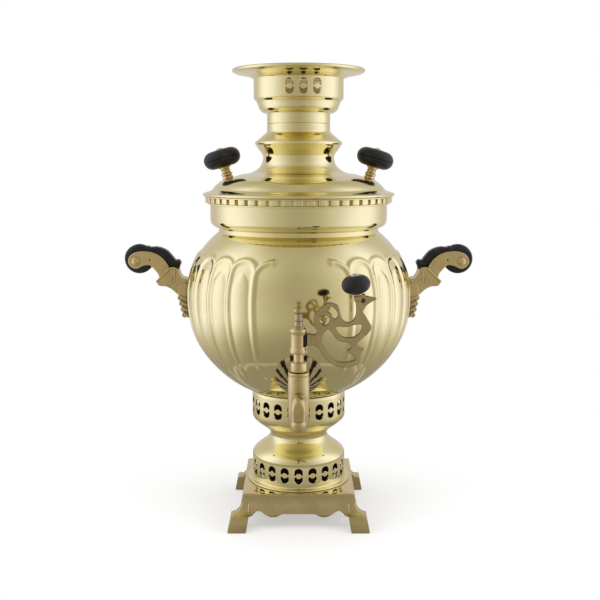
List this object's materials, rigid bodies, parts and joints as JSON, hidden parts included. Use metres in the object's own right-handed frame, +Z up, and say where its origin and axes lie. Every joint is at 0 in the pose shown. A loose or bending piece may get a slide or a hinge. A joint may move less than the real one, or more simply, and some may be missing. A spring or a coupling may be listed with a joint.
{
  "type": "samovar",
  "caption": "Charcoal samovar: fluted brass urn on a pierced pedestal and square stand, with fire tube, lid, teapot crown, side handles and a plug tap turned by a cockerel key.",
  "frame": {"origin": "centre of the footprint of the four feet, on the table", "axes": "+Z up along the samovar's axis, -Y towards the tap, +X towards the right-hand handle and the closed tap key"},
  "size_m": [0.3686, 0.314, 0.4727],
  "materials": {
    "sheet_brass": "polished spun sheet brass",
    "cast_brass": "satin cast brass, lightly tumbled",
    "turned_bronze": "polished warm turned brass",
    "black_plastic": "black, semi-gloss",
    "steel": "plain zinc-plated steel",
    "iron": "bare cast iron",
    "fibre": "dull black fibre ring"
  },
  "bodies": {
    "samovar": {"base_stand": "cast_brass", "base_screws": "steel", "pedestal": "sheet_brass", "vessel_shell": "sheet_brass", "collar_ring": "sheet_brass", "fire_tube": "sheet_brass", "fire_grate": "iron", "tap_escutcheon": "cast_brass", "tap_body": "cast_brass", "tap_seat": "cast_brass", "tap_gasket": "fibre", "tap_nut": "sheet_brass", "left_handle_bracket": "cast_brass", "right_handle_bracket": "cast_brass", "left_handle_grip": "black_plastic", "right_handle_grip": "black_plastic", "left_handle_bolt": "sheet_brass", "right_handle_bolt": "sheet_brass", "left_handle_screws": "steel", "right_handle_screws": "steel", "left_handle_washers": "steel", "right_handle_washers": "steel"},
    "tap_key": {"tap_plug": "cast_brass", "plug_washer": "steel", "plug_screw": "steel", "key_sleeve": "sheet_brass", "key_finial": "sheet_brass", "key_plate": "cast_brass", "key_knob_collar": "turned_bronze", "key_knob": "black_plastic", "key_knob_screw": "steel"},
    "lid": {"lid": "sheet_brass", "left_lid_stem": "turned_bronze", "right_lid_stem": "turned_bronze", "left_lid_knob": "black_plastic", "right_lid_knob": "black_plastic", "left_lid_knob_screw": "sheet_brass", "right_lid_knob_screw": "sheet_brass", "left_lid_stem_nut": "steel", "right_lid_stem_nut": "steel"},
    "crown": {"crown": "sheet_brass"}
  },
  "joints": [
    {"name": "tap_turn", "type": "hinge", "parent": "samovar", "child": "tap_key", "pos_m": [0, -0.171, 0.17], "axis": [0, 0, 1], "range_deg": [-225, 45]},
    {"name": "lid_lift", "type": "slide", "parent": "samovar", "child": "lid", "axis": [0, 0, 1], "range_m": [0, 0.1]},
    {"name": "crown_lift", "type": "slide", "parent": "lid", "child": "crown", "axis": [0, 0, 1], "range_m": [0, 0.06]}
  ]
}
